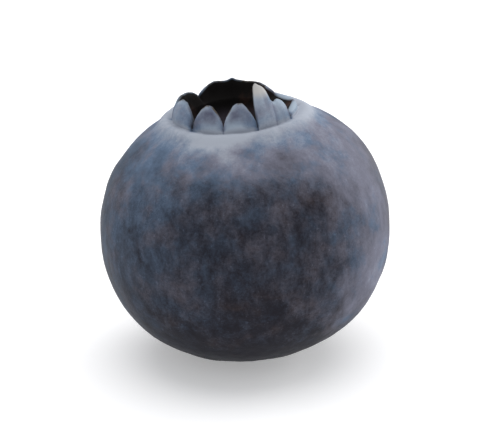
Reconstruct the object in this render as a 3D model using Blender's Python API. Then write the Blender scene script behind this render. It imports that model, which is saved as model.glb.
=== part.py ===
"""A ripe blueberry, standing on its stem end with its crown up.

The skin, the crown of five dried calyx lobes, the cup inside the crown and the scar
of the stem grew as one piece, so the berry is one closed solid. It is turned from one
meridian: a line from the stem scar round the body and over the lip at the top, up the
outside of a lobe, over its edge and down into the cup. The lobes come from letting
that line rise and fall with the azimuth.
"""

import math
from collections import namedtuple

import bmesh
import bpy
from mathutils import Euler, Vector
from mathutils.geometry import interpolate_bezier

MM = 0.001

# Body, measured from the middle of the equator
EQUATOR_RADIUS = 8.25 * MM
UPPER_HEIGHT = 7.5 * MM  # to where the outline would meet the axis
LOWER_HEIGHT = 7.65 * MM
SQUARENESS = 2.12  # exponent of the outline, where 2 is a plain ellipse
DEPTH_SHARE = 0.985  # front to back, against side to side

# Soft bulges and dents of the body. Azimuths here and in the crown are in degrees,
# anticlockwise from the right-hand side seen from above, so that 270 faces the front.
Swelling = namedtuple("Swelling", "azimuth latitude height spread")
SWELLINGS = (
    Swelling(azimuth=25, latitude=30, height=0.14 * MM, spread=38),
    Swelling(azimuth=205, latitude=-35, height=0.16 * MM, spread=40),
    Swelling(azimuth=118, latitude=5, height=-0.16 * MM, spread=34),
    Swelling(azimuth=300, latitude=-12, height=-0.08 * MM, spread=26),
    Swelling(azimuth=343, latitude=-30, height=0.15 * MM, spread=36),
    Swelling(azimuth=40, latitude=58, height=-0.16 * MM, spread=16),
    Swelling(azimuth=158, latitude=42, height=-0.12 * MM, spread=16),
)

# Stem end
DIMPLE_DEPTH = 0.28 * MM
DIMPLE_RADIUS = 0.9 * MM
SCAR_RADIUS = 0.55 * MM
SCAR_DEPTH = 0.14 * MM
STEM_END_RADII = tuple(MM * radius for radius in (0.0, 0.3, 0.46, 0.55, 0.62, 0.8, 1.05, 1.5))

# Lip round the foot of the crown
SHOULDER_RADIUS = 4.7 * MM
LIP_RADIUS = 4.0 * MM
LIP_HEIGHT = 6.84 * MM
LIP_WIDTH = 0.3 * MM
LIP_ROUNDING = 0.24 * MM  # of the hollow between the lip and the wall

# Wall of the crown
CROWN_RADIUS = 3.2 * MM  # to the middle of the wall, at its root
CROWN_ROOT_HEIGHT = 6.81 * MM
ROOT_THICKNESS = 0.8 * MM
EDGE_THICKNESS = 0.7 * MM
EDGE_ROUNDING = 0.12 * MM
NOTCH_RISE = 0.1 * MM  # from the wall's root to the floor of a notch
LOBE_HEIGHT = 1.45 * MM  # from there to the top of a full lobe
POINT_SOFTNESS = 2.0  # keeps a lobe's point from being a spike
FOLD = 0.3 * MM  # how far the wall folds in beside a notch or a crease

# The lobes, in the order of their azimuths, from the notch before each one. A lobe's
# edge arches over a flank on each side of its middle. Where the middle is lower than the
# flanks, the lobe has dried into a crease there, and where it is higher, it has kept its
# point. Those three heights are shares of LOBE_HEIGHT. The exponent is lower the blunter
# the arches are, and the incurve is how far the wall bends in at the height of a full
# lobe. The second lobe stands up as a tongue on its left, and the third has broken off.
Lobe = namedtuple("Lobe", "start middle height flanks exponent incurve")
LOBES = (
    Lobe(start=228, middle=260, height=0.02, flanks=(0.82, 0.88), exponent=0.7, incurve=0.55 * MM),
    Lobe(start=292, middle=312, height=0.8, flanks=(1.42, 0.72), exponent=0.35, incurve=0.55 * MM),
    Lobe(start=332, middle=372, height=0.05, flanks=(0.05, 0.06), exponent=0.8, incurve=0.5 * MM),
    Lobe(start=408, middle=452, height=0.57, flanks=(0.41, 0.52), exponent=0.7, incurve=0.6 * MM),
    Lobe(start=488, middle=544, height=0.2, flanks=(0.46, 0.8), exponent=0.6, incurve=0.55 * MM),
)

# Cup inside the crown
CUP_FLOOR_HEIGHT = 5.75 * MM
CUP_FLOOR_RADIUS = 2.1 * MM
CUP_CORNER = 0.25 * MM
DISC_RING_RADIUS = 1.4 * MM
DISC_RING_RISE = 0.16 * MM
DISC_RING_SPREAD = 0.32 * MM
STYLE_RADIUS = 0.24 * MM
STYLE_RISE = 0.34 * MM
CUP_FLOOR_RADII = tuple(MM * radius for radius in (1.75, 1.4, 1.05, 0.65, 0.34, 0.2, 0.0))

# How it stands
LEAN_LEFT = 4.5  # degrees
LEAN_BACK = 3.0
FLAT_DEPTH = 0.16 * MM  # cut off below, where the berry's weight rests

# Fineness of the mesh
COLUMNS = 90
BODY_ROWS = 22
LIP_ROWS = 3
LOBE_ROWS = 5
CUP_WALL_ROWS = 4
SHARP_ANGLE = 40.0  # degrees between two faces, above which their edge looks sharp

SKIN_COLOUR = (0.055, 0.062, 0.095, 1.0)
SKIN_ROUGHNESS = 0.5


def outline_height(radius, pole_height):
    """How far the body's outline is from the equator at a distance from its axis."""
    share = (radius / EQUATOR_RADIUS) ** SQUARENESS
    return pole_height * (1 - share) ** (1 / SQUARENESS)


def outline_angle(radius):
    """The angle whose outline_point lies at that distance from the axis."""
    return math.acos((radius / EQUATOR_RADIUS) ** (SQUARENESS / 2))


def outline_point(angle):
    """Radius and height on the body, for an angle above the equator in radians."""
    radius = EQUATOR_RADIUS * math.cos(angle) ** (2 / SQUARENESS)
    pole_height = UPPER_HEIGHT if angle > 0 else LOWER_HEIGHT
    height = pole_height * abs(math.sin(angle)) ** (2 / SQUARENESS)
    return radius, math.copysign(height, angle)


def bezier(start, start_handle, end_handle, end, rows):
    """Points of a curve in the meridian's plane, without its start and with its end."""
    knots = [Vector(knot) for knot in (start, start_handle, end_handle, end)]
    return [tuple(point) for point in interpolate_bezier(*knots, rows + 1)[1:]]


def stem_end():
    """The scar, the rim round it and the dimple that it lies in."""
    points = []
    for radius in STEM_END_RADII:
        dimple = DIMPLE_DEPTH * math.exp(-((radius / DIMPLE_RADIUS) ** 4))
        scar = SCAR_DEPTH if radius <= SCAR_RADIUS else 0.0
        points.append((radius, dimple + scar - outline_height(radius, LOWER_HEIGHT)))
    return points


def body():
    """From beside the dimple, round the equator, to the shoulder."""
    start = -outline_angle(STEM_END_RADII[-1])
    end = outline_angle(SHOULDER_RADIUS)
    steps = range(1, BODY_ROWS + 1)
    return [outline_point(start + (end - start) * step / BODY_ROWS) for step in steps]


def lip(root):
    """From the shoulder over the lip and up its hollow to the root of the crown."""
    third = (SHOULDER_RADIUS - LIP_RADIUS) / 3
    shoulder = outline_point(outline_angle(SHOULDER_RADIUS))
    above_shoulder = outline_point(outline_angle(SHOULDER_RADIUS - third))
    before_top = (LIP_RADIUS + LIP_WIDTH, LIP_HEIGHT)
    top = (LIP_RADIUS, LIP_HEIGHT)
    behind_top = (LIP_RADIUS - LIP_ROUNDING, LIP_HEIGHT)
    before_root = (root[0], root[1] - LIP_ROUNDING / 2)
    points = bezier(shoulder, above_shoulder, before_top, top, LIP_ROWS)
    return points + bezier(top, behind_top, before_root, root, LIP_ROWS)


def lobe_at(azimuth):
    """The lobe at an azimuth, and its edge's height there as a share of LOBE_HEIGHT."""
    first = LOBES[0].start
    azimuth = first + (azimuth - first) % 360
    ends = [lobe.start for lobe in LOBES[1:]] + [first + 360]
    lobe, end = next(pair for pair in zip(LOBES, ends) if azimuth < pair[1])
    if azimuth < lobe.middle:
        to_middle = (azimuth - lobe.start) / (lobe.middle - lobe.start)
        flank = lobe.flanks[0]
    else:
        to_middle = (end - azimuth) / (end - lobe.middle)
        flank = lobe.flanks[1]
    softness = POINT_SOFTNESS * to_middle if lobe.height > flank else 0.0
    arch = math.sin(math.pi * to_middle) ** (lobe.exponent + softness)
    return lobe, arch * flank + (1 - arch) * to_middle * lobe.height


def crown_middle(azimuth, share):
    """The middle of the crown's wall at a share of its height there, and the direction
    that the wall faces, both as radius and height."""
    lobe, edge = lobe_at(azimuth)
    whole = NOTCH_RISE + LOBE_HEIGHT
    climbed = share * (NOTCH_RISE + LOBE_HEIGHT * edge)
    reach = climbed / whole
    inwards = lobe.incurve * reach**2 + FOLD * reach * (1 - edge)
    slope = (2 * lobe.incurve * reach + FOLD * (1 - edge)) / whole
    facing = Vector((1, slope)).normalized()
    return Vector((CROWN_RADIUS - inwards, CROWN_ROOT_HEIGHT + climbed)), facing


def crown_face(azimuth, side):
    """One face of the crown's wall from above its root to its edge: side is 1 outside
    and -1 inside."""
    points = []
    for row in range(1, LOBE_ROWS + 1):
        share = row / LOBE_ROWS
        middle, facing = crown_middle(azimuth, share)
        thickness = ROOT_THICKNESS + (EDGE_THICKNESS - ROOT_THICKNESS) * share
        points.append(middle + side * thickness / 2 * facing)
    return points


def cup(root):
    """The cup's wall and floor, with the disc's ring and the stub of the style."""
    above_floor = (root[0], CUP_FLOOR_HEIGHT + CUP_CORNER)
    beside_floor = (CUP_FLOOR_RADIUS + CUP_CORNER, CUP_FLOOR_HEIGHT)
    floor_edge = (CUP_FLOOR_RADIUS, CUP_FLOOR_HEIGHT)
    points = bezier(root, above_floor, beside_floor, floor_edge, CUP_WALL_ROWS)
    for radius in CUP_FLOOR_RADII:
        ring = DISC_RING_RISE * math.exp(-(((radius - DISC_RING_RADIUS) / DISC_RING_SPREAD) ** 2))
        style = STYLE_RISE if radius < STYLE_RADIUS else 0.0
        points.append((radius, CUP_FLOOR_HEIGHT + ring + style))
    return points


def meridian(azimuth):
    """Radius and height along the whole surface at an azimuth, from pole to pole."""
    outer_root = (CROWN_RADIUS + ROOT_THICKNESS / 2, CROWN_ROOT_HEIGHT)
    inner_root = (CROWN_RADIUS - ROOT_THICKNESS / 2, CROWN_ROOT_HEIGHT)
    top, facing = crown_middle(azimuth, 1.0)
    edge = top + EDGE_ROUNDING * facing.orthogonal()
    points = [*stem_end(), *body(), *lip(outer_root)]
    points += [*crown_face(azimuth, 1), edge, *reversed(crown_face(azimuth, -1))]
    return [*points, inner_root, *cup(inner_root)]


def swelling_towards(direction):
    """How far the bulges and dents move the surface out in that direction."""
    total = 0.0
    for swelling in SWELLINGS:
        centre = Vector((1, 0, 0))
        turn = (0, -math.radians(swelling.latitude), math.radians(swelling.azimuth))
        centre.rotate(Euler(turn))
        away = math.degrees(direction.angle(centre)) / swelling.spread
        total += swelling.height * math.exp(-(away**2))
    return total


def placed(point, azimuth):
    """A point of the meridian at its azimuth, with the body's unevenness."""
    radius, height = point
    angle = math.radians(azimuth)
    spot = Vector((radius * math.cos(angle), DEPTH_SHARE * radius * math.sin(angle), height))
    return spot + spot.normalized() * swelling_towards(spot)


def berry_shape():
    """A sphere of rows and columns whose bottom pole becomes the middle of the scar, and
    whose top pole becomes the middle of the cup."""
    columns = []
    for column in range(COLUMNS):
        azimuth = 360 * column / COLUMNS
        columns.append([placed(point, azimuth) for point in meridian(azimuth)])
    rows = len(columns[0]) - 1
    shape = bmesh.new()
    bmesh.ops.create_uvsphere(shape, u_segments=COLUMNS, v_segments=rows, radius=1)
    for vertex in shape.verts:
        height = min(max(vertex.co.z, -1.0), 1.0)
        row = round(rows * math.acos(-height) / math.pi)
        azimuth = math.degrees(math.atan2(vertex.co.y, vertex.co.x))
        vertex.co = columns[round(COLUMNS * azimuth / 360) % COLUMNS][row]
    return shape


def stand(shape):
    """Leans the berry, cuts its resting face and puts the origin under its middle."""
    lean = Euler((-math.radians(LEAN_BACK), -math.radians(LEAN_LEFT), 0))
    bmesh.ops.rotate(shape, cent=(0, 0, 0), matrix=lean.to_matrix(), verts=shape.verts)
    floor = min(vertex.co.z for vertex in shape.verts) + FLAT_DEPTH
    cut = bmesh.ops.bisect_plane(
        shape,
        geom=[*shape.verts, *shape.edges, *shape.faces],
        plane_co=(0, 0, floor),
        plane_no=(0, 0, -1),
        clear_outer=True,
    )
    rim = [part for part in cut["geom_cut"] if isinstance(part, bmesh.types.BMEdge)]
    bmesh.ops.triangle_fill(shape, use_beauty=True, edges=rim)
    bmesh.ops.recalc_face_normals(shape, faces=shape.faces)
    middle = []
    for axis in (0, 1):
        places = [vertex.co[axis] for vertex in shape.verts]
        middle.append((min(places) + max(places)) / 2)
    bmesh.ops.translate(shape, vec=(-middle[0], -middle[1], -floor), verts=shape.verts)


def skin_material():
    """Dark blue skin under its pale bloom, as one even colour."""
    material = bpy.data.materials.new("skin")
    material.use_nodes = True
    shader = material.node_tree.nodes["Principled BSDF"]
    shader.inputs["Base Color"].default_value = SKIN_COLOUR
    shader.inputs["Roughness"].default_value = SKIN_ROUGHNESS
    shader.inputs["Metallic"].default_value = 0.0
    material.diffuse_color = SKIN_COLOUR
    return material


def build():
    for old in list(bpy.data.objects):
        bpy.data.objects.remove(old)
    shape = berry_shape()
    stand(shape)
    mesh = bpy.data.meshes.new("berry")
    shape.to_mesh(mesh)
    shape.free()
    mesh.materials.append(skin_material())
    mesh.shade_smooth()
    mesh.set_sharp_from_angle(angle=math.radians(SHARP_ANGLE))
    berry = bpy.data.objects.new("berry", mesh)
    bpy.context.scene.collection.objects.link(berry)


build()
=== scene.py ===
# A ripe blueberry on a plain pale floor: the fine surface of the part, with the wax
# bloom of its skin, its dried crown and the scar of its stem.
import math
from collections import namedtuple

import bpy
from mathutils import Euler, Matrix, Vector, noise
from mathutils.geometry import interpolate_bezier


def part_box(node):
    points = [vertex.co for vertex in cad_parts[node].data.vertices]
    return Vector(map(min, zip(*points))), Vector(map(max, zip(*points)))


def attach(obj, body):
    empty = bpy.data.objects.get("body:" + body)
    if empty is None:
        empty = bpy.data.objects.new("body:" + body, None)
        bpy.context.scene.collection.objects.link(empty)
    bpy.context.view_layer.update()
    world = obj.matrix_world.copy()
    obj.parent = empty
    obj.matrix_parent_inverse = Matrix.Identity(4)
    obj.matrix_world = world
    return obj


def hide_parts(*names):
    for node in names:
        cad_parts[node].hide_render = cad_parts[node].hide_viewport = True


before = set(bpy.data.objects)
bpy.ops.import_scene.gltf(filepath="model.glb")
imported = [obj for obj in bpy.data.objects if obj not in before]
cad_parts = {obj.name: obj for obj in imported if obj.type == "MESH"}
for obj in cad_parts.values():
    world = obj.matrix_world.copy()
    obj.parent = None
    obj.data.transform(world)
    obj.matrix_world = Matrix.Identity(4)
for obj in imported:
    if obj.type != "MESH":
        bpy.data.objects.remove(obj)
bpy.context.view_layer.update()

MM = 0.001

# The form that the solid has too. It is upright here, and measured from the middle of
# the equator. Azimuths are in degrees, anticlockwise from the right-hand side seen from
# above, so that 270 faces the front.
EQUATOR_RADIUS = 8.25 * MM
UPPER_HEIGHT = 7.5 * MM  # to where the outline would meet the axis
LOWER_HEIGHT = 7.65 * MM
SQUARENESS = 2.12  # exponent of the outline, where 2 is a plain ellipse
DEPTH_SHARE = 0.985  # front to back, against side to side

# Soft bulges and dents of the body
Swelling = namedtuple("Swelling", "azimuth latitude height spread")
SWELLINGS = (
    Swelling(azimuth=25, latitude=30, height=0.14 * MM, spread=38),
    Swelling(azimuth=205, latitude=-35, height=0.16 * MM, spread=40),
    Swelling(azimuth=118, latitude=5, height=-0.16 * MM, spread=34),
    Swelling(azimuth=300, latitude=-12, height=-0.08 * MM, spread=26),
    Swelling(azimuth=343, latitude=-30, height=0.15 * MM, spread=36),
    Swelling(azimuth=40, latitude=58, height=-0.16 * MM, spread=16),
    Swelling(azimuth=158, latitude=42, height=-0.12 * MM, spread=16),
)

# Stem end
DIMPLE_DEPTH = 0.28 * MM
DIMPLE_RADIUS = 0.9 * MM
DIMPLE_STEEPNESS = 4  # exponent of its wall's curve
SCAR_RADIUS = 0.55 * MM
SCAR_DEPTH = 0.14 * MM
SCAR_STEP = 0.05 * MM  # how gradual its edge is
STEM_END_RADIUS = 1.5 * MM

# Lip round the foot of the crown
SHOULDER_RADIUS = 4.7 * MM
LIP_RADIUS = 4.0 * MM
LIP_HEIGHT = 6.84 * MM
LIP_WIDTH = 0.3 * MM
LIP_ROUNDING = 0.24 * MM  # of the hollow between the lip and the wall

# Wall of the crown
CROWN_RADIUS = 3.2 * MM  # to the middle of the wall, at its root
CROWN_ROOT_HEIGHT = 6.81 * MM
ROOT_THICKNESS = 0.8 * MM
SOLID_EDGE_THICKNESS = 0.7 * MM
NOTCH_RISE = 0.1 * MM  # from the wall's root to the floor of a notch
LOBE_HEIGHT = 1.45 * MM  # from there to the top of a full lobe
POINT_SOFTNESS = 2.0  # keeps a lobe's point from being a spike
FOLD = 0.3 * MM  # how far the wall folds in beside a notch or a crease

# The lobes, in the order of their azimuths, from the notch before each one. A lobe's
# edge arches over a flank on each side of its middle. Where the middle is lower than the
# flanks, the lobe has dried into a crease there, and where it is higher, it has kept its
# point. Those three heights are shares of LOBE_HEIGHT. The exponent is lower the blunter
# the arches are, and the incurve is how far the wall bends in at the height of a full
# lobe. Darker heart is how much darker an arch is in its middle, from 0 to 1.
Lobe = namedtuple("Lobe", "start middle height flanks exponent incurve rubbed")
LOBES = (
    Lobe(228, middle=260, height=0.02, flanks=(0.82, 0.88), exponent=0.7, incurve=0.55 * MM, rubbed=1.0),
    Lobe(292, middle=312, height=0.8, flanks=(1.42, 0.72), exponent=0.35, incurve=0.55 * MM, rubbed=0.0),
    Lobe(332, middle=372, height=0.05, flanks=(0.05, 0.06), exponent=0.8, incurve=0.5 * MM, rubbed=0.0),
    Lobe(408, middle=452, height=0.57, flanks=(0.41, 0.52), exponent=0.7, incurve=0.6 * MM, rubbed=0.6),
    Lobe(488, middle=544, height=0.2, flanks=(0.46, 0.8), exponent=0.6, incurve=0.55 * MM, rubbed=0.25),
)

# Cup inside the crown
CUP_FLOOR_HEIGHT = 5.75 * MM
CUP_FLOOR_RADIUS = 2.1 * MM
CUP_CORNER = 0.25 * MM
DISC_RING_RADIUS = 1.4 * MM
DISC_RING_RISE = 0.16 * MM
DISC_RING_SPREAD = 0.32 * MM
STYLE_RADIUS = 0.24 * MM
STYLE_RISE = 0.34 * MM
STYLE_STEP = 0.035 * MM  # how gradual its edge is

# How it stands
LEAN_LEFT = 4.5  # degrees
LEAN_BACK = 3.0
FLAT_DEPTH = 0.16 * MM  # pressed in below, where the berry's weight rests

# Fine forms, which the solid leaves out, of the lobes and their edges
THIN_EDGE = 0.17 * MM
THINNING = 0.8  # exponent of the wall's taper, where 1 is an even one
STUB_THICKNESS = 0.45 * MM  # at the edge of a lobe that has broken off
STUB_HEIGHT = 0.4  # share of LOBE_HEIGHT below which a lobe counts as broken off
EDGE_ROUNDING = 0.07 * MM
PILLOW = 0.1 * MM  # how far a lobe's flanks stand out between its folds
RAGGED = 0.17 * MM  # how deep the bites out of an edge can be
BITE_SHARE = 0.5  # how deep they are on average, as a share of that
BITE_STEEPNESS = 3  # keeps them to the top of the wall

# Fine forms that follow a noise round the axis: how high its waves are, about how many
# there are in a turn, and its layer, with how far that drifts along the meridian
Ruffle = namedtuple("Ruffle", "height waves layer drift", defaults=(0.0,))
LIP_WAVE = Ruffle(height=0.06 * MM, waves=11, layer=1.0)
GROOVE_PUCKER = Ruffle(height=0.035 * MM, waves=52, layer=8.0)
CRINKLES = (
    Ruffle(height=0.11 * MM, waves=30, layer=2.0, drift=1.2),
    Ruffle(height=0.055 * MM, waves=75, layer=6.0, drift=2.0),
)
BITES = (
    Ruffle(height=0.35, waves=46, layer=3.0),  # as a share of RAGGED
    Ruffle(height=0.3, waves=105, layer=5.0),
)
DISC_PUCKERS = (
    Ruffle(height=0.045 * MM, waves=34, layer=0.0, drift=1 / 1.1),
    Ruffle(height=0.0315 * MM, waves=13, layer=0.0, drift=1.0),
)
DISC_SMOOTH_RADIUS = 1.2 * MM  # within which the disc's puckers fade
SCAR_WAVER = Ruffle(height=0.12, waves=9, layer=2.0)  # as a share of SCAR_RADIUS
STEM_PUCKER = Ruffle(height=0.05 * MM, waves=16, layer=4.0)
STEM_PUCKER_RADIUS = 0.9 * MM
STEM_PUCKER_SPREAD = 0.4 * MM

# Fine forms of other kinds: torn fibres on the scar, and waves of the skin
TORN_HEIGHT = 0.05 * MM
TORN_SIZE = 0.2 * MM
TORN_LAYER = 7.0
SKIN_WAVE = 0.05 * MM
SKIN_WAVE_SIZE = 1.6 * MM
SKIN_RIPPLE = 0.012 * MM
SKIN_RIPPLE_SIZE = 0.45 * MM
SKIN_SINK = 0.025 * MM  # how far the waves lie below the outline on average

# Fineness of the mesh
COLUMNS = 360
STEM_END_ROWS = 18
BODY_ROWS = 126
LIP_ROWS = 8
LOBE_ROWS = 26
EDGE_ROWS = 5
CUP_WALL_ROWS = 12
CUP_FLOOR_ROWS = 30

# Where the bloom is thicker, or thinner where the amount is below 0. A band lies above
# its latitude, or below it where its width is below 0. The first two are partly the bloom's
# own thickness and partly painted light and shade: the first paints the shoulder lighter,
# as if more light fell there, and the second paints the lower half darker, as if less did.
Band = namedtuple("Band", "latitude width amount")
BLOOM_AND_SHADE_BANDS = (
    Band(latitude=46, width=8, amount=0.85),
    Band(latitude=-42, width=-8, amount=-0.3),
    Band(latitude=-72, width=-4, amount=0.45),
)
Patch = namedtuple("Patch", "azimuth latitude spread amount")
# Most patches are the bloom's own thicker and thinner places. The two broad bright ones on the right
# side (azimuths 335 and 338) are painted side light, and the one at azimuth 210 is a painted sheen along
# the left edge.
BLOOM_AND_LIGHT_PATCHES = (
    Patch(azimuth=268, latitude=57, spread=16, amount=0.18),
    Patch(azimuth=250, latitude=54, spread=9, amount=0.2),
    Patch(azimuth=260, latitude=65, spread=7, amount=0.35),
    Patch(azimuth=299, latitude=74, spread=7, amount=0.45),
    Patch(azimuth=325, latitude=63, spread=9, amount=-0.15),
    Patch(azimuth=372, latitude=64, spread=16, amount=0.35),
    Patch(azimuth=225, latitude=62, spread=8, amount=-0.12),
    Patch(azimuth=237, latitude=68, spread=6, amount=-0.3),
    Patch(azimuth=281, latitude=68, spread=6, amount=-0.25),
    Patch(azimuth=350, latitude=46, spread=14, amount=0.04),
    Patch(azimuth=240, latitude=8, spread=16, amount=0.06),
    Patch(azimuth=216, latitude=42, spread=16, amount=0.1),
    Patch(azimuth=314, latitude=41, spread=11, amount=0.2),
    Patch(azimuth=210, latitude=16, spread=18, amount=0.2),
    Patch(azimuth=338, latitude=24, spread=20, amount=0.46),
    Patch(azimuth=335, latitude=-17, spread=22, amount=0.62),
    Patch(azimuth=215, latitude=-18, spread=18, amount=0.06),
    Patch(azimuth=300, latitude=24, spread=5, amount=-0.1),
    Patch(azimuth=308, latitude=22, spread=5, amount=-0.12),
    Patch(azimuth=290, latitude=21, spread=7, amount=-0.08),
    Patch(azimuth=295, latitude=-1, spread=14, amount=-0.03),
    Patch(azimuth=266, latitude=18, spread=7, amount=-0.08),
    Patch(azimuth=218, latitude=10, spread=5, amount=-0.15),
    Patch(azimuth=268, latitude=-30, spread=22, amount=-0.1),
    Patch(azimuth=60, latitude=10, spread=24, amount=0.2),
    Patch(azimuth=100, latitude=-10, spread=14, amount=-0.2),
    Patch(azimuth=140, latitude=30, spread=10, amount=-0.18),
    Patch(azimuth=20, latitude=-25, spread=12, amount=-0.18),
)
# A pale band along the lip: partly bloom, partly a painted highlight where its crest catches the light
# from above
LIP_BLOOM_AND_HIGHLIGHT = 0.4
LIP_HIGHLIGHT_WIDTH = 0.55 * MM
LIP_HIGHLIGHT_REACH = 0.15  # up the wall of the crown, as a share of its height
BLOOM_SEED = 6  # of the noise that the bands and the patches stray by
BROAD_STRAY = 0.16  # as a share of the body's radius
BROAD_STRAY_WAVES = 5  # about how many there are in that radius
FINE_STRAY = 0.07
FINE_STRAY_WAVES = 14

# Where the looks of the crown and of the scar are
# The folds' look is a painted shade
FOLD_SHARPNESS = 3  # how narrow the folds look
ARCH_STEEPNESS = 3  # how soon an arch's middle darkens, going up from its root
STUB_PALENESS = 5  # keeps a broken edge from looking like the inside of the wall
SCAR_LOOK_RADIUS = 0.6 * MM
SCAR_LOOK_STEP = 0.03 * MM  # how gradual its edge is


def outline_height(radius, pole_height):
    """How far the body's outline is from the equator at a distance from its axis."""
    share = (radius / EQUATOR_RADIUS) ** SQUARENESS
    return pole_height * (1 - share) ** (1 / SQUARENESS)


def outline_angle(radius):
    """The angle whose outline_point lies at that distance from the axis."""
    return math.acos((radius / EQUATOR_RADIUS) ** (SQUARENESS / 2))


def outline_point(angle):
    """Radius and height on the body, for an angle above the equator in radians."""
    radius = EQUATOR_RADIUS * math.cos(angle) ** (2 / SQUARENESS)
    pole_height = UPPER_HEIGHT if angle > 0 else LOWER_HEIGHT
    height = pole_height * abs(math.sin(angle)) ** (2 / SQUARENESS)
    return radius, math.copysign(height, angle)


def bezier(start, start_handle, end_handle, end, rows):
    """Points of a curve in the meridian's plane, without its start and with its end."""
    knots = [Vector(knot) for knot in (start, start_handle, end_handle, end)]
    return [tuple(point) for point in interpolate_bezier(*knots, rows + 1)[1:]]


def climb(distance):
    """Rises smoothly from 0 below zero, through a half at zero, to 1 above it."""
    return 1 / (1 + math.exp(-distance))


def fade(distance):
    """Falls smoothly from 1 at zero to almost 0 at two, on either side."""
    return math.exp(-(distance**2))


def round_noise(azimuth, waves, layer):
    """Smooth noise round the axis, from -1 to 1, with about that many waves in a turn."""
    angle = math.radians(azimuth)
    reach = waves / (2 * math.pi)
    return noise.noise(Vector((reach * math.cos(angle), reach * math.sin(angle), layer)))


def ruffled(kinds, azimuth, along=0.0):
    """How high the ruffles of those kinds are together, at a place along the meridian."""
    total = 0.0
    for kind in kinds:
        total += kind.height * round_noise(azimuth, kind.waves, kind.layer + kind.drift * along)
    return total


# A spot of the surface: where it is in the meridian's plane, how far up the crown's wall,
# whether it is inside the crown and whether it is down in a fold, each from 0 to 1
Spot = namedtuple("Spot", "radius height reach inside fold", defaults=(0.0, 0.0, 0.0))


def stem_end(azimuth):
    """The scar, the rim round it and the dimple that it lies in."""
    scar_edge = SCAR_RADIUS * (1 + ruffled([SCAR_WAVER], azimuth))
    spots = []
    for row in range(STEM_END_ROWS):
        radius = STEM_END_RADIUS * row / (STEM_END_ROWS - 1)
        height = DIMPLE_DEPTH * math.exp(-((radius / DIMPLE_RADIUS) ** DIMPLE_STEEPNESS))
        height += SCAR_DEPTH * climb((scar_edge - radius) / SCAR_STEP)
        if radius < SCAR_RADIUS:
            fibres = 2 * math.pi * radius / TORN_SIZE
            height += TORN_HEIGHT * round_noise(azimuth, fibres, TORN_LAYER)
        from_pucker = (radius - STEM_PUCKER_RADIUS) / STEM_PUCKER_SPREAD
        height += ruffled([STEM_PUCKER], azimuth) * fade(from_pucker)
        spots.append(Spot(radius, height - outline_height(radius, LOWER_HEIGHT)))
    return spots


def body():
    """From beside the dimple, round the equator, to the shoulder."""
    start = -outline_angle(STEM_END_RADIUS)
    end = outline_angle(SHOULDER_RADIUS)
    spots = []
    for row in range(1, BODY_ROWS + 1):
        radius, height = outline_point(start + (end - start) * row / BODY_ROWS)
        spots.append(Spot(radius, height))
    return spots


def lip(root, azimuth):
    """From the shoulder over the lip and through its hollow to the root of the crown."""
    height = LIP_HEIGHT + ruffled([LIP_WAVE], azimuth)
    third = (SHOULDER_RADIUS - LIP_RADIUS) / 3
    shoulder = outline_point(outline_angle(SHOULDER_RADIUS))
    above_shoulder = outline_point(outline_angle(SHOULDER_RADIUS - third))
    top = (LIP_RADIUS, height)
    before_top = (LIP_RADIUS + LIP_WIDTH, height)
    behind_top = (LIP_RADIUS - LIP_ROUNDING, height)
    before_root = (root[0], root[1] - LIP_ROUNDING / 2)
    rising = bezier(shoulder, above_shoulder, before_top, top, LIP_ROWS)
    spots = [Spot(*point) for point in rising]
    fold = fold_at(azimuth)
    # The painted shade of a fold runs on down into the lip's hollow
    for row, point in enumerate(bezier(top, behind_top, before_root, root, LIP_ROWS), 1):
        spots.append(Spot(*point, fold=fold * row / LIP_ROWS))
    return spots


def lobe_at(azimuth):
    """The lobe at an azimuth, its edge's height there as a share of LOBE_HEIGHT, and how
    far the azimuth is from the nearest fold, from 0 to 1."""
    first = LOBES[0].start
    azimuth = first + (azimuth - first) % 360
    ends = [lobe.start for lobe in LOBES[1:]] + [first + 360]
    lobe, end = next(pair for pair in zip(LOBES, ends) if azimuth < pair[1])
    if azimuth < lobe.middle:
        to_middle = (azimuth - lobe.start) / (lobe.middle - lobe.start)
        flank = lobe.flanks[0]
    else:
        to_middle = (end - azimuth) / (end - lobe.middle)
        flank = lobe.flanks[1]
    softness = POINT_SOFTNESS * to_middle if lobe.height > flank else 0.0
    off_fold = math.sin(math.pi * to_middle)
    arch = off_fold ** (lobe.exponent + softness)
    edge = arch * flank + (1 - arch) * to_middle * lobe.height
    return lobe, edge, off_fold


def fold_at(azimuth):
    """Whether the wall folds in at an azimuth, from 0 to 1."""
    _, edge, off_fold = lobe_at(azimuth)
    return (1 - off_fold) ** FOLD_SHARPNESS * max(1 - edge, 0.0)


def crown_middle(azimuth, share):
    """The middle of the solid's wall at a share of its height there, and the direction
    that the wall faces, as radius and height."""
    lobe, edge, _ = lobe_at(azimuth)
    whole = NOTCH_RISE + LOBE_HEIGHT
    climbed = share * (NOTCH_RISE + LOBE_HEIGHT * edge)
    reach = climbed / whole
    inwards = lobe.incurve * reach**2 + FOLD * reach * (1 - edge)
    slope = (2 * lobe.incurve * reach + FOLD * (1 - edge)) / whole
    facing = Vector((1, slope)).normalized()
    return Vector((CROWN_RADIUS - inwards, CROWN_ROOT_HEIGHT + climbed)), facing


def crown_outside(azimuth, share):
    """The outer face of the crown's wall, and the direction that it faces."""
    _, edge, off_fold = lobe_at(azimuth)
    middle, facing = crown_middle(azimuth, share)
    thickness = ROOT_THICKNESS + (SOLID_EDGE_THICKNESS - ROOT_THICKNESS) * share
    crinkle = share * edge * ruffled(CRINKLES, azimuth, share)
    pillow = PILLOW * off_fold * math.sin(math.pi * share) * edge
    bites = RAGGED * edge * (BITE_SHARE + ruffled(BITES, azimuth))
    outwards = facing * (thickness / 2 + crinkle + pillow)
    downwards = -facing.orthogonal() * bites * share**BITE_STEEPNESS
    return middle + outwards + downwards, facing


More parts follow.
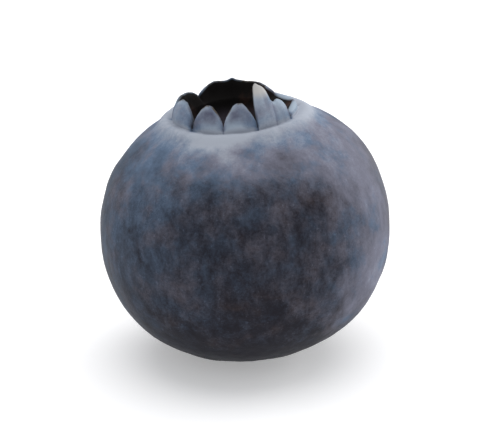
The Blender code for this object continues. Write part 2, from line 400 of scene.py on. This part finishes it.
def crown(azimuth):
    """Up the outside of a lobe, over its edge and down the inside."""
    outside, edge, inside = [], [], []
    _, height, off_fold = lobe_at(azimuth)
    stub = off_fold * max(1 - height / STUB_HEIGHT, 0.0)
    edge_thickness = THIN_EDGE + (STUB_THICKNESS - THIN_EDGE) * stub
    fold = fold_at(azimuth)
    for row in range(1, LOBE_ROWS + 1):
        share = row / LOBE_ROWS
        place, facing = crown_outside(azimuth, share)
        thickness = edge_thickness + (ROOT_THICKNESS - edge_thickness) * (1 - share) ** THINNING
        outside.append(Spot(*place, share, 0.0, fold))
        inside.append(Spot(*(place - facing * thickness), share, 1.0))
    for row in range(1, EDGE_ROWS + 1):
        across = row / (EDGE_ROWS + 1)
        over = facing.orthogonal() * EDGE_ROUNDING * math.sin(math.pi * across)
        inwards = facing * edge_thickness * (1 - math.cos(math.pi * across)) / 2
        inner_look = across ** (1 + STUB_PALENESS * stub)
        edge.append(Spot(*(place - inwards + over), 1.0, inner_look, fold))
    return [*outside, *edge, *reversed(inside)]


def cup(root, azimuth):
    """The cup's wall and floor, with the disc's ring and the stub of the style."""
    above_floor = (root[0], CUP_FLOOR_HEIGHT + CUP_CORNER)
    beside_floor = (CUP_FLOOR_RADIUS + CUP_CORNER, CUP_FLOOR_HEIGHT)
    floor_edge = (CUP_FLOOR_RADIUS, CUP_FLOOR_HEIGHT)
    points = bezier(root, above_floor, beside_floor, floor_edge, CUP_WALL_ROWS)
    for row in range(1, CUP_FLOOR_ROWS + 1):
        radius = CUP_FLOOR_RADIUS * (1 - row / CUP_FLOOR_ROWS)
        ring = DISC_RING_RISE * fade((radius - DISC_RING_RADIUS) / DISC_RING_SPREAD)
        style = STYLE_RISE * climb((STYLE_RADIUS - radius) / STYLE_STEP)
        points.append((radius, CUP_FLOOR_HEIGHT + ring + style))
    spots = []
    for radius, height in points:
        puckers = ruffled(DISC_PUCKERS, azimuth, radius / MM)
        height += puckers * min(radius / DISC_SMOOTH_RADIUS, 1.0)
        spots.append(Spot(radius, height, inside=1.0))
    return spots


def meridian(azimuth):
    """The spots along the whole surface at an azimuth, from pole to pole."""
    root_height = CROWN_ROOT_HEIGHT + ruffled([GROOVE_PUCKER], azimuth)
    outer_root = (CROWN_RADIUS + ROOT_THICKNESS / 2, root_height)
    wall, facing = crown_outside(azimuth, 0)
    inner_root = tuple(wall - facing * ROOT_THICKNESS)
    spots = [*stem_end(azimuth), *body(), *lip(outer_root, azimuth), *crown(azimuth)]
    return [*spots, Spot(*inner_root, inside=1.0), *cup(inner_root, azimuth)]


def towards(place):
    """The direction from the middle of the berry to a place's azimuth and latitude."""
    direction = Vector((1, 0, 0))
    direction.rotate(Euler((0, -math.radians(place.latitude), math.radians(place.azimuth))))
    return direction


SWELLING_CENTRES = [towards(swelling) for swelling in SWELLINGS]
PATCH_CENTRES = [towards(patch) for patch in BLOOM_AND_LIGHT_PATCHES]


def swelling_towards(direction):
    """How far the bulges and dents move the surface out in that direction."""
    total = 0.0
    for swelling, centre in zip(SWELLINGS, SWELLING_CENTRES):
        away = math.degrees(direction.angle(centre))
        total += swelling.height * fade(away / swelling.spread)
    return total


def relief(spot, direction):
    """The soft unevenness of the skin, which the crown is too stiff to have."""
    wave = SKIN_WAVE * noise.noise(direction * (EQUATOR_RADIUS / SKIN_WAVE_SIZE))
    ripple = SKIN_RIPPLE * noise.noise(direction * (EQUATOR_RADIUS / SKIN_RIPPLE_SIZE))
    return (1 - spot.inside) * (1 - spot.reach) * (wave + ripple - SKIN_SINK)


def bloom_and_light_at(spot, direction):
    """How much thicker or thinner the bloom is at a spot than elsewhere, with painted light and shade.
    """
    stray = BROAD_STRAY * noise.noise_vector(direction * BROAD_STRAY_WAVES)
    stray += FINE_STRAY * noise.noise_vector(direction * FINE_STRAY_WAVES)
    strayed = (direction + stray).normalized()
    latitude = math.degrees(math.asin(max(-1.0, min(strayed.z, 1.0))))
    total = 0.0
    for band in BLOOM_AND_SHADE_BANDS:
        total += band.amount * climb((latitude - band.latitude) / band.width)
    for patch, centre in zip(BLOOM_AND_LIGHT_PATCHES, PATCH_CENTRES):
        away = math.degrees(strayed.angle(centre))
        total += patch.amount * fade(away / patch.spread)
    # The lip's pale band, partly bloom and partly a painted highlight
    if spot.height > 0:
        past_lip = max(spot.radius - LIP_RADIUS, 0.0)
        from_lip = past_lip / LIP_HIGHLIGHT_WIDTH + spot.reach / LIP_HIGHLIGHT_REACH
        total += LIP_BLOOM_AND_HIGHLIGHT * fade(from_lip) * (1 - spot.inside)
    return total


def scar_at(spot):
    """Whether a spot is on the scar of the stem, from 0 to 1."""
    if spot.height > 0:
        return 0.0
    return climb((SCAR_LOOK_RADIUS - spot.radius) / SCAR_LOOK_STEP)


def looks_at(spot, azimuth, direction):
    """What the material has to know of a spot."""
    lobe, _, off_fold = lobe_at(azimuth)
    return {
        "reach": spot.reach,
        "inside": spot.inside,
        "fold": spot.fold,
        "arch": lobe.rubbed * off_fold * min(spot.reach * ARCH_STEEPNESS, 1.0),
        # The bloom here also carries painted light and shade
        "bloom": bloom_and_light_at(spot, direction),
        "scar": scar_at(spot),
    }


def berry_points():
    """The surface's points on the upright berry, from the middle of the scar to the
    middle of the cup, what the material has to know of them, and how many rows they form.
    The first and the last row have one point each."""
    azimuths = [360 * column / COLUMNS for column in range(COLUMNS)]
    meridians = [meridian(azimuth) for azimuth in azimuths]
    rows = len(meridians[0])
    places, looks = [], []
    for row in range(rows):
        columns = 1 if row in (0, rows - 1) else COLUMNS
        for column in range(columns):
            azimuth = azimuths[column]
            spot = meridians[column][row]
            angle = math.radians(azimuth)
            depth = DEPTH_SHARE * spot.radius * math.sin(angle)
            place = Vector((spot.radius * math.cos(angle), depth, spot.height))
            direction = place.normalized()
            place += direction * (swelling_towards(direction) + relief(spot, direction))
            places.append(place)
            looks.append(looks_at(spot, azimuth, direction))
    return places, looks, rows


def berry_faces(rows):
    """Four-sided faces between the rows, with a fan of triangles at each end."""
    faces = []
    last_point = 1 + (rows - 2) * COLUMNS
    last_ring = last_point - COLUMNS
    for column in range(COLUMNS):
        after = (column + 1) % COLUMNS
        faces.append((0, 1 + after, 1 + column))
        for low in range(1, last_ring, COLUMNS):
            high = low + COLUMNS
            faces.append((low + column, low + after, high + after, high + column))
        faces.append((last_ring + column, last_ring + after, last_point))
    return faces


def stand(places):
    """Leans the berry, presses its resting spot flat and sets it where the solid is."""
    lean = Euler((-math.radians(LEAN_BACK), -math.radians(LEAN_LEFT), 0)).to_matrix()
    places = [lean @ place for place in places]
    ground = min(place.z for place in places) + FLAT_DEPTH
    low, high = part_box("berry")
    middle = (low + high) / 2
    shift = []
    for axis in (0, 1):
        reach = [place[axis] for place in places]
        shift.append(middle[axis] - (min(reach) + max(reach)) / 2)
    return [(p.x + shift[0], p.y + shift[1], max(p.z - ground, 0.0) + low.z) for p in places]


def berry_mesh():
    """The whole surface, with what the material has to know of each point. Grown is where
    the point is on the upright berry, in millimetres."""
    noise.seed_set(BLOOM_SEED)
    places, looks, rows = berry_points()
    mesh = bpy.data.meshes.new("blueberry")
    mesh.from_pydata(stand(places), [], berry_faces(rows))
    for name in looks[0]:
        values = [look[name] for look in looks]
        mesh.attributes.new(name, "FLOAT", "POINT").data.foreach_set("value", values)
    grown = [number for place in places for number in place / MM]
    mesh.attributes.new("grown", "FLOAT_VECTOR", "POINT").data.foreach_set("vector", grown)
    mesh.shade_smooth()
    return mesh


def set_values(made, values):
    """Gives a node's inputs plain values."""
    for name, value in values.items():
        made.inputs[name].default_value = value


def node(tree, kind, inputs, **settings):
    """Adds a node. Each input follows another node's output or is a plain value."""
    made = tree.nodes.new(kind)
    for name, value in settings.items():
        setattr(made, name, value)
    for key, value in inputs.items():
        if isinstance(value, bpy.types.NodeSocket):
            tree.links.new(value, made.inputs[key])
        else:
            made.inputs[key].default_value = value
    return made


def attribute(tree, name, output="Fac"):
    """One of the mesh's attributes."""
    return node(tree, "ShaderNodeAttribute", {}, attribute_name=name).outputs[output]


def calculate(tree, operation, *values):
    """A sum on plain numbers."""
    inputs = dict(enumerate(values))
    return node(tree, "ShaderNodeMath", inputs, operation=operation).outputs[0]


def calculate_vector(tree, operation, *values):
    """A sum on vectors."""
    inputs = dict(enumerate(values))
    return node(tree, "ShaderNodeVectorMath", inputs, operation=operation).outputs[0]


def product(tree, first, *others):
    """All the values multiplied."""
    for other in others:
        first = calculate(tree, "MULTIPLY", first, other)
    return first


def blend_colours(tree, share, first, second):
    """The first colour where the share is 0, and the second where it is 1."""
    factor, a, b, result = 0, 6, 7, 2  # the node's sockets for colours
    inputs = {factor: share, a: first, b: second}
    return node(tree, "ShaderNodeMix", inputs, data_type="RGBA").outputs[result]


def stretch(tree, value, low, high, to_low=0.0, to_high=1.0):
    """Spreads the values from low to high smoothly over the new range."""
    inputs = {"Value": value, "From Min": low, "From Max": high}
    inputs |= {"To Min": to_low, "To Max": to_high}
    made = node(tree, "ShaderNodeMapRange", inputs, interpolation_type="SMOOTHSTEP")
    return made.outputs["Result"]


def colour(red, green, blue):
    """A colour without transparency."""
    return (red, green, blue, 1.0)


BARE_SKIN = colour(0.0135, 0.0125, 0.0175)
RUBBED_SKIN = colour(0.034, 0.025, 0.026)
BLUE_BLOOM = colour(0.118, 0.170, 0.255)
LILAC_BLOOM = colour(0.185, 0.190, 0.245)
# The two palest colours also paint the highlights on the lip and the lobes' edges
THICK_BLOOM_AND_HIGHLIGHT = colour(0.37, 0.40, 0.46)
CROWN_BLOOM_AND_HIGHLIGHT = colour(0.33, 0.395, 0.475)
LOBE_HEART = colour(0.068, 0.068, 0.108)
# A painted highlight on the tongue's tip, where it catches the light from above
TIP_HIGHLIGHT = colour(0.46, 0.45, 0.44)
EDGE_BROWN = colour(0.090, 0.075, 0.055)
DRIED_DARK = colour(0.0075, 0.0065, 0.0062)
DRIED_RED = colour(0.036, 0.018, 0.014)
DISC = colour(0.032, 0.027, 0.035)
SCAR_DARK = colour(0.030, 0.016, 0.011)
SCAR_BROWN = colour(0.13, 0.075, 0.040)

# Noise patterns of the skin. Size is about that of their blotches, in millimetres. The
# offset keeps patterns apart, and the weight is what they add to the bloom's thickness.
Pattern = namedtuple("Pattern", "size detail roughness offset weight", defaults=(0.0, 0.0))
CLOUD = Pattern(size=3.4, detail=4.0, roughness=0.55, weight=0.35)
MOTTLE = Pattern(size=0.7, detail=5.0, roughness=0.62, offset=11.0, weight=0.35)
STREAKS = Pattern(size=0.5, detail=3.0, roughness=0.6, offset=5.0, weight=0.4)
GRAIN = Pattern(size=0.16, detail=3.0, roughness=0.7, weight=0.32)
POWDER = Pattern(size=0.05, detail=2.0, roughness=0.6, weight=0.2)
FLECKS = Pattern(size=0.2, detail=1.0, roughness=0.55, offset=31.0, weight=0.1)
HUE = Pattern(size=1.7, detail=4.0, roughness=0.6, offset=23.0)
NOISE_MIDDLE = 0.5  # noise goes from 0 to 1
FLECK_TOPS = (0.66, 0.76)  # only the highest parts of the noise are flecks
HUE_TILT = 0.012  # towards lilac on the right, for each millimetre
STREAK_SQUEEZE = (1.0, 1.0, 0.3)  # makes streaks three times as long along the axis
WARP_SCALE = 0.6  # waves in a millimetre, of the noise that the patterns stray by
WARP_DETAIL = 2.0
WARP_REACH = 0.9  # millimetres

# The bloom's thickness goes from 0 where the skin is bare, through 1 where the bloom
# covers it, to more where it turns white. BLOOM_BASE is everywhere, and the other two are
# added at the crown's edges, as paler margins that are partly bloom and partly a painted
# highlight, and in its folds, where taking the bloom away paints the folds' shade.
BLOOM_BASE = 0.23
EDGE_BLOOM_AND_HIGHLIGHT = 0.15
FOLD_SHADE = -0.9

# The range over which each look comes in. The last word of its name says of what: the
# hue, the bloom's thickness, the reach up the crown's wall, how rubbed an arch is, the
# height above the equator in millimetres, or a noise pattern. Where a range has four
# numbers, the last two are how much comes in at its ends.
RUBBED_HUES = (0.55, 0.8)
LILAC_HUES = (0.36, 0.62)
RED_HUES = (0.5, 0.75)
COVERED_THICKNESSES = (0.0, 1.0)
WHITE_THICKNESSES = (0.75, 1.5)
EDGE_HIGHLIGHT_REACHES = (0.7, 0.95)
CROWN_BLOOM_REACHES = (0.0, 0.3)
HEART_ARCHES = (0.1, 0.9)
HEART_FOOT_REACHES = (0.12, 0.6)
HEART_TOP_REACHES = (0.75, 1.0, 1.0, 0.5)
HEART_MOTTLES = (0.3, 0.7, 0.45, 0.9)
TIP_HEIGHTS = (8.3, 8.8)  # only the tongue's tip is as high
BROWN_REACHES = (0.955, 0.995)
BROWN_MOTTLES = (0.4, 0.6)
BROWN_ARCHES = (0.0, 0.4)
DISC_HEIGHTS = (5.8, 6.5, 1.0, 0.0)
DISC_MOTTLES = (0.3, 0.7, 0.4, 1.0)
SCAR_GRAINS = (0.3, 0.7)

# Roughness from bare skin to full bloom, and at least where the surface has dried
SKIN_ROUGHNESS = (0.5, 0.74)
DRIED_ROUGHNESS = 0.75
GRAIN_BUMP = 0.6
POWDER_BUMP = 0.25
BUMP_STRENGTH = 0.5
BUMP_HEIGHT = 0.03 * MM
SKIN_SHINE = {
    "Sheen Weight": 0.04,
    "Sheen Roughness": 0.45,
    "Sheen Tint": colour(0.8, 0.88, 1.0),
    "Specular IOR Level": 0.05,
}


def cloudy(tree, vector, pattern):
    """The noise of a pattern."""
    if pattern.offset:
        vector = calculate_vector(tree, "ADD", vector, (pattern.offset,) * 3)
    inputs = {"Vector": vector, "Scale": 1 / pattern.size}
    inputs |= {"Detail": pattern.detail, "Roughness": pattern.roughness}
    return node(tree, "ShaderNodeTexNoise", inputs).outputs["Fac"]


Surface = namedtuple("Surface", "height reach cloud mottle streaks grain powder flecks hue")


def surface_patterns(tree):
    """What the colours follow: how high a point is, how far up the crown's wall, and the
    noise patterns there."""
    place = attribute(tree, "grown", "Vector")
    inputs = {"Vector": place, "Scale": WARP_SCALE, "Detail": WARP_DETAIL}
    warp = node(tree, "ShaderNodeTexNoise", inputs).outputs["Color"]
    warp = calculate_vector(tree, "SUBTRACT", warp, (NOISE_MIDDLE,) * 3)
    warp = calculate_vector(tree, "MULTIPLY", warp, (WARP_REACH,) * 3)
    strayed = calculate_vector(tree, "ADD", place, warp)
    upright = calculate_vector(tree, "MULTIPLY", strayed, STREAK_SQUEEZE)
    parts = node(tree, "ShaderNodeSeparateXYZ", {0: place}).outputs
    return Surface(
        height=parts["Z"],
        reach=attribute(tree, "reach"),
        cloud=cloudy(tree, strayed, CLOUD),
        mottle=cloudy(tree, strayed, MOTTLE),
        streaks=cloudy(tree, upright, STREAKS),
        grain=cloudy(tree, place, GRAIN),
        powder=cloudy(tree, place, POWDER),
        flecks=stretch(tree, cloudy(tree, place, FLECKS), *FLECK_TOPS),
        hue=calculate(tree, "MULTIPLY_ADD", parts["X"], HUE_TILT, cloudy(tree, strayed, HUE)),
    )


def bloom_and_light_thickness(tree, surface):
    """Adds up the bloom's thickness from its places and its patterns, with painted light and shade."""
    total = calculate(tree, "ADD", attribute(tree, "bloom"), BLOOM_BASE)
    # Paler margins near the lobes' edges, partly bloom and partly a painted highlight
    near_edge = stretch(tree, surface.reach, *EDGE_HIGHLIGHT_REACHES)
    total = calculate(tree, "MULTIPLY_ADD", near_edge, EDGE_BLOOM_AND_HIGHLIGHT, total)
    # Painted shade in the folds, where the bloom is taken away
    total = calculate(tree, "MULTIPLY_ADD", attribute(tree, "fold"), FOLD_SHADE, total)
    weights = (
        (surface.cloud, CLOUD.weight),
        (surface.mottle, MOTTLE.weight),
        (surface.streaks, STREAKS.weight),
        (surface.grain, GRAIN.weight),
        (surface.powder, POWDER.weight),
    )
    for pattern, weight in weights:
        centred = calculate(tree, "SUBTRACT", pattern, NOISE_MIDDLE)
        total = calculate(tree, "MULTIPLY_ADD", centred, weight, total)
    return calculate(tree, "MULTIPLY_ADD", surface.flecks, FLECKS.weight, total)


def bloomed_colour(tree, surface, thickness):
    """The skin and the bloom on it, from bare through blue and lilac to white, where the white also
    paints highlights.
    """
    bare = blend_colours(tree, stretch(tree, surface.hue, *RUBBED_HUES), BARE_SKIN, RUBBED_SKIN)
    bloom = blend_colours(tree, stretch(tree, surface.hue, *LILAC_HUES), BLUE_BLOOM, LILAC_BLOOM)
    skin = blend_colours(tree, stretch(tree, thickness, *COVERED_THICKNESSES), bare, bloom)
    up_crown = stretch(tree, surface.reach, *CROWN_BLOOM_REACHES)
    palest_and_highlight = blend_colours(tree, up_crown, THICK_BLOOM_AND_HIGHLIGHT, CROWN_BLOOM_AND_HIGHLIGHT)
    return blend_colours(tree, stretch(tree, thickness, *WHITE_THICKNESSES), skin, palest_and_highlight)


def lobes_colour(tree, surface, skin):
    """Adds the darker hearts of the arches, a painted highlight on the tongue's tip and the brown edges.
    """
    arch = attribute(tree, "arch")
    heart = product(
        tree,
        stretch(tree, arch, *HEART_ARCHES),
        stretch(tree, surface.reach, *HEART_FOOT_REACHES),
        stretch(tree, surface.reach, *HEART_TOP_REACHES),
        stretch(tree, surface.mottle, *HEART_MOTTLES),
    )
    brown = product(
        tree,
        stretch(tree, surface.reach, *BROWN_REACHES),
        stretch(tree, surface.mottle, *BROWN_MOTTLES),
        stretch(tree, arch, *BROWN_ARCHES),
    )
    skin = blend_colours(tree, heart, skin, LOBE_HEART)
    # Painted highlight on the tongue's tip
    skin = blend_colours(tree, stretch(tree, surface.height, *TIP_HEIGHTS), skin, TIP_HIGHLIGHT)
    return blend_colours(tree, brown, skin, EDGE_BROWN)


def dried_colour(tree, surface):
    """The dark inside of the crown, and the disc on the cup's floor."""
    dried = blend_colours(tree, stretch(tree, surface.hue, *RED_HUES), DRIED_DARK, DRIED_RED)
    disc = product(
        tree,
        stretch(tree, surface.height, *DISC_HEIGHTS),
        stretch(tree, surface.mottle, *DISC_MOTTLES),
    )
    return blend_colours(tree, disc, dried, DISC)


def scar_colour(tree, surface):
    """The brown fibres of the scar."""
    light = stretch(tree, surface.grain, *SCAR_GRAINS)
    return blend_colours(tree, light, SCAR_DARK, SCAR_BROWN)


def skin_roughness(tree, thickness, dried):
    """Bare skin shines a little, and the bloom and what has dried do so less."""
    covered = stretch(tree, thickness, *COVERED_THICKNESSES)
    roughness = stretch(tree, covered, 0.0, 1.0, *SKIN_ROUGHNESS)
    return calculate(tree, "MAXIMUM", roughness, product(tree, dried, DRIED_ROUGHNESS))


def skin_bumps(tree, surface):
    """The fine unevenness of the skin and its bloom."""
    bumps = product(tree, surface.powder, POWDER_BUMP)
    bumps = calculate(tree, "MULTIPLY_ADD", surface.grain, GRAIN_BUMP, bumps)
    inputs = {"Height": bumps, "Strength": BUMP_STRENGTH, "Distance": BUMP_HEIGHT}
    return node(tree, "ShaderNodeBump", inputs).outputs["Normal"]


def skin_material():
    """Dark skin under a bloom of uneven thickness, with the crown and the scar dried."""
    material = bpy.data.materials.new("berry_skin")
    material.use_nodes = True
    tree = material.node_tree
    shader = tree.nodes["Principled BSDF"]
    surface = surface_patterns(tree)
    thickness = bloom_and_light_thickness(tree, surface)
    inside = attribute(tree, "inside")
    scar = attribute(tree, "scar")
    skin = bloomed_colour(tree, surface, thickness)
    skin = lobes_colour(tree, surface, skin)
    skin = blend_colours(tree, inside, skin, dried_colour(tree, surface))
    skin = blend_colours(tree, scar, skin, scar_colour(tree, surface))
    dried = calculate(tree, "MAXIMUM", inside, scar)
    tree.links.new(skin, shader.inputs["Base Color"])
    tree.links.new(skin_roughness(tree, thickness, dried), shader.inputs["Roughness"])
    tree.links.new(skin_bumps(tree, surface), shader.inputs["Normal"])
    set_values(shader, SKIN_SHINE)
    return material


def berry():
    """The one piece of the part, in the place of its solid."""
    piece = bpy.data.objects.new("blueberry", berry_mesh())
    bpy.context.scene.collection.objects.link(piece)
    piece.data.materials.append(skin_material())
    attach(piece, "root")
    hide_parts("berry")


# Camera
ELEVATION = 23.0  # degrees, as in the photograph
LENS = 300.0  # millimetres, as is the sensor's width
SENSOR = 36.0
VIEW_WIDTH = 28.13 * MM  # what the frame's width takes in at the berry
AIM_HEIGHT = 7.9 * MM
CLIP_NEAR_SHARE = 0.05  # of the camera's distance
CLIP_FAR = 10.0

# Floor
FLOOR_SIZE = 3.0
FLOOR_GAP = 0.02 * MM  # below the berry
FLOOR_LOOK = {
    "Base Color": colour(0.86, 0.86, 0.87),
    "Roughness": 0.7,
    "Specular IOR Level": 0.2,
    "Emission Color": colour(1.0, 1.0, 1.0),
    "Emission Strength": 0.31,  # makes it as white as the photograph's
}

# Light, with the lamps' places and sizes in metres and their power in watts
SKY_COLOUR = colour(0.96, 0.975, 1.0)
SKY_STRENGTH = 0.6
Lamp = namedtuple("Lamp", "name place size power tint")
LAMPS = (
    Lamp("overhead", place=(0.02, 0.16, 0.5), size=0.8, power=2.5, tint=(1.0, 0.99, 0.98)),
    Lamp("right_side", place=(0.42, 0.36, 0.12), size=0.3, power=1.3, tint=(1.0, 1.0, 1.0)),
)


def camera():
    """Looks at the middle of the berry's body from the photograph's angle."""
    middle = Vector((0, 0, AIM_HEIGHT))
    rise = math.radians(ELEVATION)
    distance = VIEW_WIDTH * LENS / SENSOR
    data = bpy.data.cameras.new("camera")
    data.lens = LENS
    data.sensor_width = SENSOR
    data.clip_start = distance * CLIP_NEAR_SHARE
    data.clip_end = CLIP_FAR
    eye = bpy.data.objects.new("camera", data)
    eye.location = middle + distance * Vector((0, -math.cos(rise), math.sin(rise)))
    eye.rotation_euler = (math.pi / 2 - rise, 0, 0)
    bpy.context.scene.collection.objects.link(eye)
    bpy.context.scene.camera = eye


def floor():
    """A plain pale floor, which is no part of the object."""
    half = FLOOR_SIZE / 2
    sides = ((-half, -half), (half, -half), (half, half), (-half, half))
    corners = [(x, y, -FLOOR_GAP) for x, y in sides]
    mesh = bpy.data.meshes.new("floor")
    mesh.from_pydata(corners, [], [(0, 1, 2, 3)])
    plane = bpy.data.objects.new("floor", mesh)
    bpy.context.scene.collection.objects.link(plane)
    material = bpy.data.materials.new("floor")
    material.use_nodes = True
    set_values(material.node_tree.nodes["Principled BSDF"], FLOOR_LOOK)
    mesh.materials.append(material)


def lamps():
    """Round soft lamps that the camera doesn't see, all aimed at the berry."""
    for lamp in LAMPS:
        data = bpy.data.lights.new(lamp.name, "AREA")
        data.shape = "DISK"
        data.size = lamp.size
        data.energy = lamp.power
        data.color = lamp.tint
        light = bpy.data.objects.new(lamp.name, data)
        light.location = lamp.place
        aim = Vector((0, 0, EQUATOR_RADIUS)) - light.location
        light.rotation_euler = aim.to_track_quat("-Z", "Y").to_euler()
        light.visible_camera = False
        bpy.context.scene.collection.objects.link(light)


def surroundings():
    """Even light from all round, and colours as they are mixed."""
    world = bpy.data.worlds.new("studio")
    world.use_nodes = True
    sky = {"Color": SKY_COLOUR, "Strength": SKY_STRENGTH}
    set_values(world.node_tree.nodes["Background"], sky)
    bpy.context.scene.world = world
    bpy.context.scene.view_settings.view_transform = "Standard"


berry()
camera()
floor()
lamps()
surroundings()
